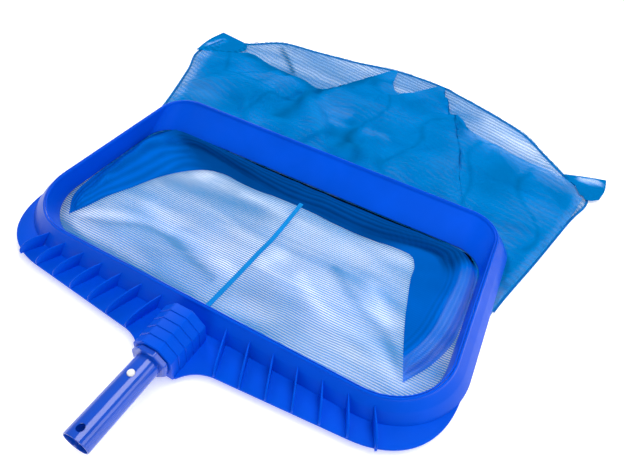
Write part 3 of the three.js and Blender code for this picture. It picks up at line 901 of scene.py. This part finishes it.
END_FOLD_SHADE = [(-1.2, 4, [(-252, 618), (-216, 584), (-179, 542)])]


def shares(rows, columns):
    """How far along a grid its rows and its columns lie, from 0 to 1."""
    return np.linspace(0, 1, rows)[:, None], np.linspace(0, 1, columns)[None, :]


def patch(near, far, left, right):
    """Fills four border lines with a grid of points: rows from near to far."""
    v, u = (share[..., None] for share in shares(len(left), len(near)))
    across = (1 - v) * near[None] + v * far[None]
    along = (1 - u) * left[:, None] + u * right[:, None]
    corners = ((1 - u) * (1 - v) * near[0] + u * (1 - v) * near[-1]
               + (1 - u) * v * far[0] + u * v * far[-1])
    return across + along - corners


def beyond_rounded(x, y, half_x, near_y, far_y, radius):
    """Signed distance of a point beyond a rounded rectangle, in millimetres."""
    qx = np.abs(x) - half_x + radius
    qy = np.abs(y - (near_y + far_y) / 2) - (far_y - near_y) / 2 + radius
    outside = np.hypot(np.maximum(qx, 0), np.maximum(qy, 0))
    return outside + np.minimum(np.maximum(qx, qy), 0) - radius


def outside_skirt(x, y):
    """Signed distance of a point beyond the ring's outer foot."""
    reach = SKIRT_OUT["far"]
    return beyond_rounded(x, y, CREST_HALF_WIDTH + SKIRT_OUT["side"], -reach,
                          CREST_DEPTH + reach, FAR_CORNER_R + 15)


def inside_rim(x, y):
    """Distance of a point inward from the rim of the scoop."""
    radius = np.where(y < CREST_DEPTH / 2, RIM_NEAR_R, RIM_FAR_R)
    return -beyond_rounded(x, y, RIM_HALF_WIDTH, RIM_NEAR_Y, RIM_FAR_Y, radius)


def ease(value):
    value = np.clip(value, 0, 1)
    return value * value * (3 - 2 * value)


def crumple(xy, size, seed):
    """Smooth noise between about -1 and 1 at every place of a grid."""
    flat = xy.reshape(-1, 2)
    values = [noise.noise(Vector((x / size, y / size, seed))) for x, y in flat]
    return np.array(values).reshape(xy.shape[:2]) * 2


def near_line(xy, line, width):
    """1 on a soft line drawn on the cloth, and down to 0 within about twice its width."""
    spots = smooth_line(line, 50)
    gaps = np.linalg.norm(xy.reshape(-1, 1, 2) - spots[None], axis=2).min(axis=1)
    return np.exp(-(gaps / width) ** 2).reshape(xy.shape[:2])


def draw_fold_shade(xy, lines):
    """Painted light and shade: the sum of soft lines, each given as its strength, its width and its
    points.
    """
    return sum(strength * near_line(xy, line, width) for strength, width, line in lines)


def paint(obj, fold_light_and_shade):
    """Stores the painted light and shade of a sheet's points, along its folds, in the attribute
    that the net material reads.
    """
    layer = obj.data.attributes.new("fold_shade", "FLOAT", "POINT")
    layer.data.foreach_set("value", np.asarray(fold_light_and_shade, np.float32).ravel())


def sheet_object(name, xy, z, material):
    """A one-layer sheet from a grid of places and heights, with a cloth map in metres."""
    rows, columns = z.shape
    points = [place(*xy[i, k], z[i, k]) for i in range(rows) for k in range(columns)]
    obj = make_object(name, points, grid_faces(rows, columns), material, 0)
    layer = obj.data.uv_layers.new(name="cloth")
    flat = xy.reshape(-1, 2) * MM
    for loop in obj.data.loops:
        layer.data[loop.index].uv = flat[loop.vertex_index]
    return obj


def border(rows, columns):
    """The numbers of the points along the four sides of a grid."""
    grid = np.arange(rows * columns).reshape(rows, columns)
    return np.concatenate([grid[0], grid[-1], grid[:, 0], grid[:, -1]])


def settle(obj, pinned, excess, frames, floor_height):
    """Lets a sheet with more cloth than its borders span fall into folds onto a floor."""
    bpy.ops.mesh.primitive_plane_add(size=3, location=(0, 0, floor_height * MM))
    ground = bpy.context.object
    ground.modifiers.new("collision", "COLLISION")
    ground.collision.thickness_outer = 0.0005
    ground.collision.cloth_friction = 8
    group = obj.vertex_groups.new(name="pinned")
    group.add([int(i) for i in np.unique(pinned)], 1.0, "REPLACE")
    cloth = obj.modifiers.new("cloth", "CLOTH")
    cloth.settings.quality = 5
    cloth.settings.mass = 0.0004
    cloth.settings.tension_stiffness = 12
    cloth.settings.compression_stiffness = 12
    cloth.settings.shear_stiffness = 4
    cloth.settings.bending_stiffness = 0.02
    cloth.settings.vertex_group_mass = "pinned"
    cloth.settings.shrink_min = -excess
    cloth.collision_settings.distance_min = 0.0008
    cloth.point_cache.frame_end = frames
    scene = bpy.context.scene
    scene.frame_end = frames
    for number in range(1, frames + 1):
        scene.frame_set(number)
    freeze(obj)
    obj.vertex_groups.clear()
    bpy.data.objects.remove(ground)
    scene.frame_set(1)


def get_points(obj):
    points = np.zeros(len(obj.data.vertices) * 3, np.float32)
    obj.data.vertices.foreach_get("co", points)
    return points.reshape(-1, 3)


def set_points(obj, points):
    obj.data.vertices.foreach_set("co", points.ravel())
    obj.data.update()


def keep_under(obj, margin, in_ring, beyond):
    """Holds a sheet under one height up to a margin past the ring and under another beyond."""
    points = get_points(obj)
    outside = outside_skirt(points[:, 0] / MM, points[:, 1] / MM - RING_Y)
    points[:, 2] = np.minimum(points[:, 2], np.where(outside < margin, in_ring, beyond) * MM)
    set_points(obj, points)


def surface_of(obj):
    return BVHTree.FromObject(obj, bpy.context.evaluated_depsgraph_get())


def height_of(tree, point, fallback):
    """How high a surface lies over or under a place, in the frame's metres."""
    hit = tree.ray_cast(Vector((point[0], point[1], 0.5)), Vector((0, 0, -1)))[0]
    return hit.z if hit else fallback


def lift_above(obj, below, gap):
    """Keeps a sheet at least gap millimetres above another one that it lies on."""
    tree = surface_of(below)
    points = get_points(obj)
    for point in points:
        point[2] = max(point[2], height_of(tree, point, -1) + gap * MM)
    set_points(obj, points)
    return obj


# ---- bag: its pieces ---------------------------------------------------------------------
def lower_panel():
    rows, columns = 110, 130
    xy = patch(smooth_line(NEAR_EDGE, columns), smooth_line(END_SEAM, columns),
               smooth_line(LEFT_SEAM, rows), smooth_line(RIGHT_SEAM, rows))
    z = 1.2 + 1.6 * np.abs(crumple(xy, 70, 3.1))
    panel = sheet_object("bag_net_lower", xy, z, SINGLE_NET)
    settle(panel, border(rows, columns), 0.03, 24, 0.4)
    keep_under(panel, 0, 4.6, 3.0)
    x, y = xy[..., 0], xy[..., 1]
    beside_rim = (1 - ease((inside_rim(x, y) - 9) / 11)) * ease((170 - y) / 60)
    paint(panel, draw_fold_shade(xy, LOWER_FOLD_SHADE) - 0.36 * beside_rim * (1 - 0.7 * ease((x + 60) / 80)))
    return finish_piece(panel, "bag_lower_panel")


def end_panel(lower):
    """The upper layer outside the ring, thin enough to see the lower one through it."""
    rows, columns = 70, 140
    left = resample(line_beyond(280, LEFT_SEAM, 300), rows)
    right = resample(line_beyond(215, RIGHT_SEAM, 300), rows)
    xy = patch(smooth_line(END_NEAR, columns), smooth_line(END_SEAM, columns), left, right)
    v, u = shares(rows, columns)
    z = 3.2 + 4 * np.sin(math.pi * v) * np.sin(math.pi * u) * (1 + crumple(xy, 60, 7.7))
    panel = sheet_object("bag_net_end", xy, z, END_NET)
    settle(panel, border(rows, columns), 0.03, 20, 3.2)
    keep_under(panel, 1, 5.4, 9.0)
    lift_above(panel, lower, 0.6)
    paint(panel, draw_fold_shade(xy, END_FOLD_SHADE))
    return finish_piece(panel, "bag_upper_panel")


def upper_panel(end):
    """The slack upper layer, gathered double between the ring and the fold line."""
    rows, columns = 60, 170
    xy = patch(curve(RIM_LINE, columns), curve(FOLD_LINE, columns),
               smooth_line(FOLD_LEFT, rows), smooth_line(FOLD_RIGHT, rows))
    v, u = shares(rows, columns)
    outside = outside_skirt(xy[..., 0], xy[..., 1])
    away = ease(outside / 60)
    puff = away * np.sin(math.pi * u) ** 0.6 * (1 - 0.75 * v ** 3)
    z = 5 + 13 * puff * (1 + 0.35 * crumple(xy, 55, 1.3))
    panel = sheet_object("bag_net_upper", xy, z, DENSE_NET)
    held = np.concatenate([np.flatnonzero(outside < 4), border(rows, columns)])
    settle(panel, held, 0.05, 26, 5)
    keep_under(panel, 1.5, 6.0, 40.0)
    lift_above(panel, end, 0.6)
    width = np.linalg.norm(xy[:, -1] - xy[:, 0], axis=1)[:, None]
    selvedge = 1.1 * (1 - ease((u * width - 8) / 16)) + 0.5 * (1 - ease(((1 - u) * width - 8) / 18))
    # painted shade along thin creases where the cloth stands away from the ring
    crease_shade = np.exp(-(crumple(xy, 120, 4.4) / 0.07) ** 2) * ease(away * 2)
    patches = crumple(xy, 70, 8.8)
    ragged = 0.5 * ease((v - 0.84) / 0.16) * ease((u - 0.62) / 0.06)
    paint(panel, draw_fold_shade(xy, DENSE_FOLD_SHADE) + selvedge + ragged - 0.3 * crease_shade
          + 0.2 * patches)
    return finish_piece(panel, "bag_upper_panel")


def throat_roll(lower):
    """Slack cloth that bulges back into the scoop's mouth, in pleats that follow the rim."""
    rows, columns = 44, 200
    mouth, throat = curve(ROLL_OUTER, columns), curve(ROLL_INNER, columns)
    v = np.linspace(0, 1, rows)[:, None, None]
    xy = (1 - v) * mouth[None] + v * throat[None]
    reach = np.linalg.norm(throat - mouth, axis=1)
    from_rim = reach[None] * v[..., 0]
    at = np.linspace(-1, 1, columns)[None, :]
    width = 26 + 16 * np.exp(-(at / 0.4) ** 4)
    height = 4 + 8 * ease((at + 0.75) / 0.5)
    roll = height * np.sin(math.pi * np.clip((from_rim - 4) / width, 0, 1)) ** 0.8
    pleats = np.sin(2 * math.pi * from_rim / 6.5 + 3 * crumple(xy, 90, 5.5))
    pleats *= 1 - ease((from_rim - 38) / 10)
    fade = np.sin(math.pi * np.clip(from_rim / np.maximum(reach, 1), 0, 1)) ** 0.5
    z = 4.6 + roll + 0.6 * pleats * fade + (1.2 + 2 * (at < -0.3)) * crumple(xy, 28, 2.2) * fade
    tail = np.maximum(v[..., 0] ** 4, 1 - ease((1 - np.abs(at)) / 0.09))
    z = z * (1 - tail) + 2.4 * tail
    sheet = sheet_object("bag_net_throat", xy, z, THROAT_NET)
    lift_above(sheet, lower, 0.5)
    left, right = ease((-0.25 - at) / 0.2), ease((at - 0.37) / 0.13)
    on_roll = 1 - ease((from_rim - 24) / 10)
    # painted shadow in a thin line where the roll starts under the rim
    shadow_under_rim = np.exp(-(from_rim / 6) ** 2) * ease((at + 0.55) / 0.12) * ease((0.45 - at) / 0.1)
    ravels = np.sin(2 * math.pi * (5 * v[..., 0] + 0.4 * crumple(xy, 60, 6.1)))
    flat_part = ease((from_rim - 42) / 10) * ease((at - 0.15) / 0.1)
    # painted light on the right end of the roll; painted shade beyond it, on the left end and,
    # strongest, along the middle, less on its flat far part
    roll_light_and_shade = (0.4 * right * on_roll - 0.4 * right * (1 - on_roll) - 0.25 * left
              - (1.0 - 0.5 * flat_part) * (1 - left - right))
    # pleat crests also get painted highlight and their troughs painted shade, except on the left
    paint(sheet, roll_light_and_shade + 0.2 * left * ravels + 0.16 * (1 - left) * pleats - 0.8 * shadow_under_rim)
    return finish_piece(sheet, "bag_upper_panel")


def ribbon(name, node, line, width, thick, base, material):
    """A flat tape along a line, on base(x, y, z) in the frame's metres."""
    ahead = np.gradient(line, axis=0)
    ahead /= np.linalg.norm(ahead, axis=1)[:, None]
    side = np.stack([-ahead[:, 1], ahead[:, 0]], 1)
    section = bar_outline(width, 0, thick, 0.45)
    points = []
    for spot, across in zip(line, side):
        height = base(place(*spot, 0))
        points += [place(*(spot + across * out), height + up) for out, up in section]
    return finish_piece(capped_tube(name, points, len(section), material), node)


def tapes(lower):
    tree = surface_of(lower)
    centre = smooth_line([(-2, 10), (3, 71), (6, 118), (9, 157), (9, 262)], 90)
    ribbon("centre_tape", "centre_seam_tape", centre, 6.5, 0.8,
           lambda point: height_of(tree, point, 0.003) / MM + 0.4, CENTRE_TAPE)
    seams = {
        "side_tape_left": ("side_seam_tape_left", line_beyond(240, LEFT_SEAM, 160)),
        "side_tape_right": ("side_seam_tape_right", line_beyond(190, RIGHT_SEAM, 160)),
        "end_tape": ("end_seam_tape", smooth_line(END_SEAM, 260)),
    }
    for name, (node, line) in seams.items():
        ribbon(name, node, line, 3.4, 2.8, lambda point: 0.8, SEAM_TAPE)


def corner_tab(upper, name, node, highlight_line, near, far, left, right):
    """The bag's corner, turned over on itself, with a painted highlight along a pale line where it
    opens.
    """
    rows, columns = 24, 24
    xy = patch(smooth_line(near, columns), smooth_line(far, columns),
               smooth_line(left, rows), smooth_line(right, rows))
    v, u = shares(rows, columns)
    bulge = np.sin(math.pi * v) * np.sin(math.pi * u)
    z = 5.6 + 4 * bulge ** 0.5 + 1.2 * crumple(xy, 14, 9.0) * bulge
    tab = lift_above(sheet_object(name, xy, z, DENSE_NET), upper, 1.6)
    paint(tab, 1.1 * near_line(xy, highlight_line, 8) - 0.2)
    return finish_piece(tab, node)


def tabs(upper):
    corner_tab(upper, "tab_left", "corner_tab_left", [(-372, 540), (-362, 566)],
               [(-386, 508), (-352, 522), (-318, 538)],
               [(-388, 606), (-356, 600), (-318, 592)], [(-386, 508), (-392, 560), (-388, 606)],
               [(-318, 538), (-306, 566), (-318, 592)])
    corner_tab(upper, "tab_right", "corner_tab_right", [(372, 528), (396, 536)],
               [(372, 484), (388, 483), (402, 494)],
               [(344, 532), (378, 546), (410, 557)], [(372, 484), (358, 506), (344, 532)],
               [(402, 494), (409, 524), (410, 557)])


def hem():
    sleeve = loft_ring("hem_sleeve", tube_outline(HEM_R), END_NET, 0.1, 20, 6)
    finish_piece(sleeve, "bag_hem")
    cord = loft_ring("draw_cord", tube_outline(CORD_R), HEM_CORD, 0.1, 20, 6)
    finish_piece(cord, "hem_cord")


def bag():
    lower = lower_panel()
    end = end_panel(lower)
    upper = upper_panel(end)
    throat_roll(lower)
    tapes(lower)
    tabs(upper)
    hem()


# ---- stage, light and camera ---------------------------------------------------------------
# the camera's place in ring millimetres and the directions of its right, up and back
CAMERA_AT = (207.78, -217.25, 429.86 + CREST_Z)
CAMERA_RIGHT = (0.88307, 0.45951, 0.0951)
CAMERA_UP = (-0.39655, 0.62243, 0.67478)
CAMERA_BACK = (0.25087, -0.63359, 0.73187)
CAMERA_LENS = 26.9


def camera():
    data = bpy.data.cameras.new("camera")
    data.sensor_width = 36
    data.lens = CAMERA_LENS
    data.clip_start = 0.01
    obj = new_object("camera", data)
    axes = Matrix((CAMERA_RIGHT, CAMERA_UP, CAMERA_BACK)).transposed().to_4x4()
    obj.matrix_world = Matrix.Translation(place(*CAMERA_AT)) @ axes
    bpy.context.scene.camera = obj


def floor():
    bpy.ops.mesh.primitive_plane_add(size=12, location=(0, 0, -0.0004))
    plane = bpy.context.object
    plane.name = "floor"
    material = new_material("floor", FLOOR_WHITE, 0.9, Specular_IOR_Level=0.0,
                            Emission_Color=(1, 1, 1, 1), Emission_Strength=0.42)
    plane.data.materials.append(material)


def area_light(name, location, target, size, power):
    data = bpy.data.lights.new(name, "AREA")
    data.shape = "RECTANGLE"
    data.size, data.size_y = size
    data.energy = power
    obj = new_object(name, data)
    obj.location = location
    direction = Vector(target) - Vector(location)
    obj.rotation_euler = direction.to_track_quat("-Z", "Y").to_euler()


def studio_world():
    """A white room that is as bright as the floor near the horizon and dimmer overhead."""
    world = bpy.data.worlds.new("studio")
    world.use_nodes = True
    background = world.node_tree.nodes["Background"]
    background.inputs["Color"].default_value = (1, 1, 1, 1)
    direction = add_node(world, "ShaderNodeTexCoord").outputs["Generated"]
    parts = add_node(world, "ShaderNodeSeparateXYZ", Vector=direction)
    strength = add_node(world, "ShaderNodeMapRange", Value=parts.outputs["Z"],
                        From_Min=0.0, From_Max=0.3, To_Min=0.9, To_Max=0.28)
    feed(world, background.inputs["Strength"], strength.outputs["Result"])
    bpy.context.scene.world = world


def lights():
    studio_world()
    area_light("key", (-1.1, 1.0, 1.2), (0, 0, 0), (0.6, 0.6), 16)
    area_light("overhead", (0.45, 0.05, 1.5), (0.45, 0.05, 0), (1.0, 1.2), 15)
    area_light("side", (1.45, 0.05, 0.7), (0, 0.05, 0), (1.2, 0.6), 4.5)
    area_light("front", (-0.1, -1.5, 0.6), (-0.1, -0.1, 0), (0.9, 0.5), 3)


bpy.context.scene.view_settings.view_transform = "Standard"
camera()
floor()
lights()
outer_frame()
scoop_liner()
handle_parts()
dress_cad_nodes()
bag()
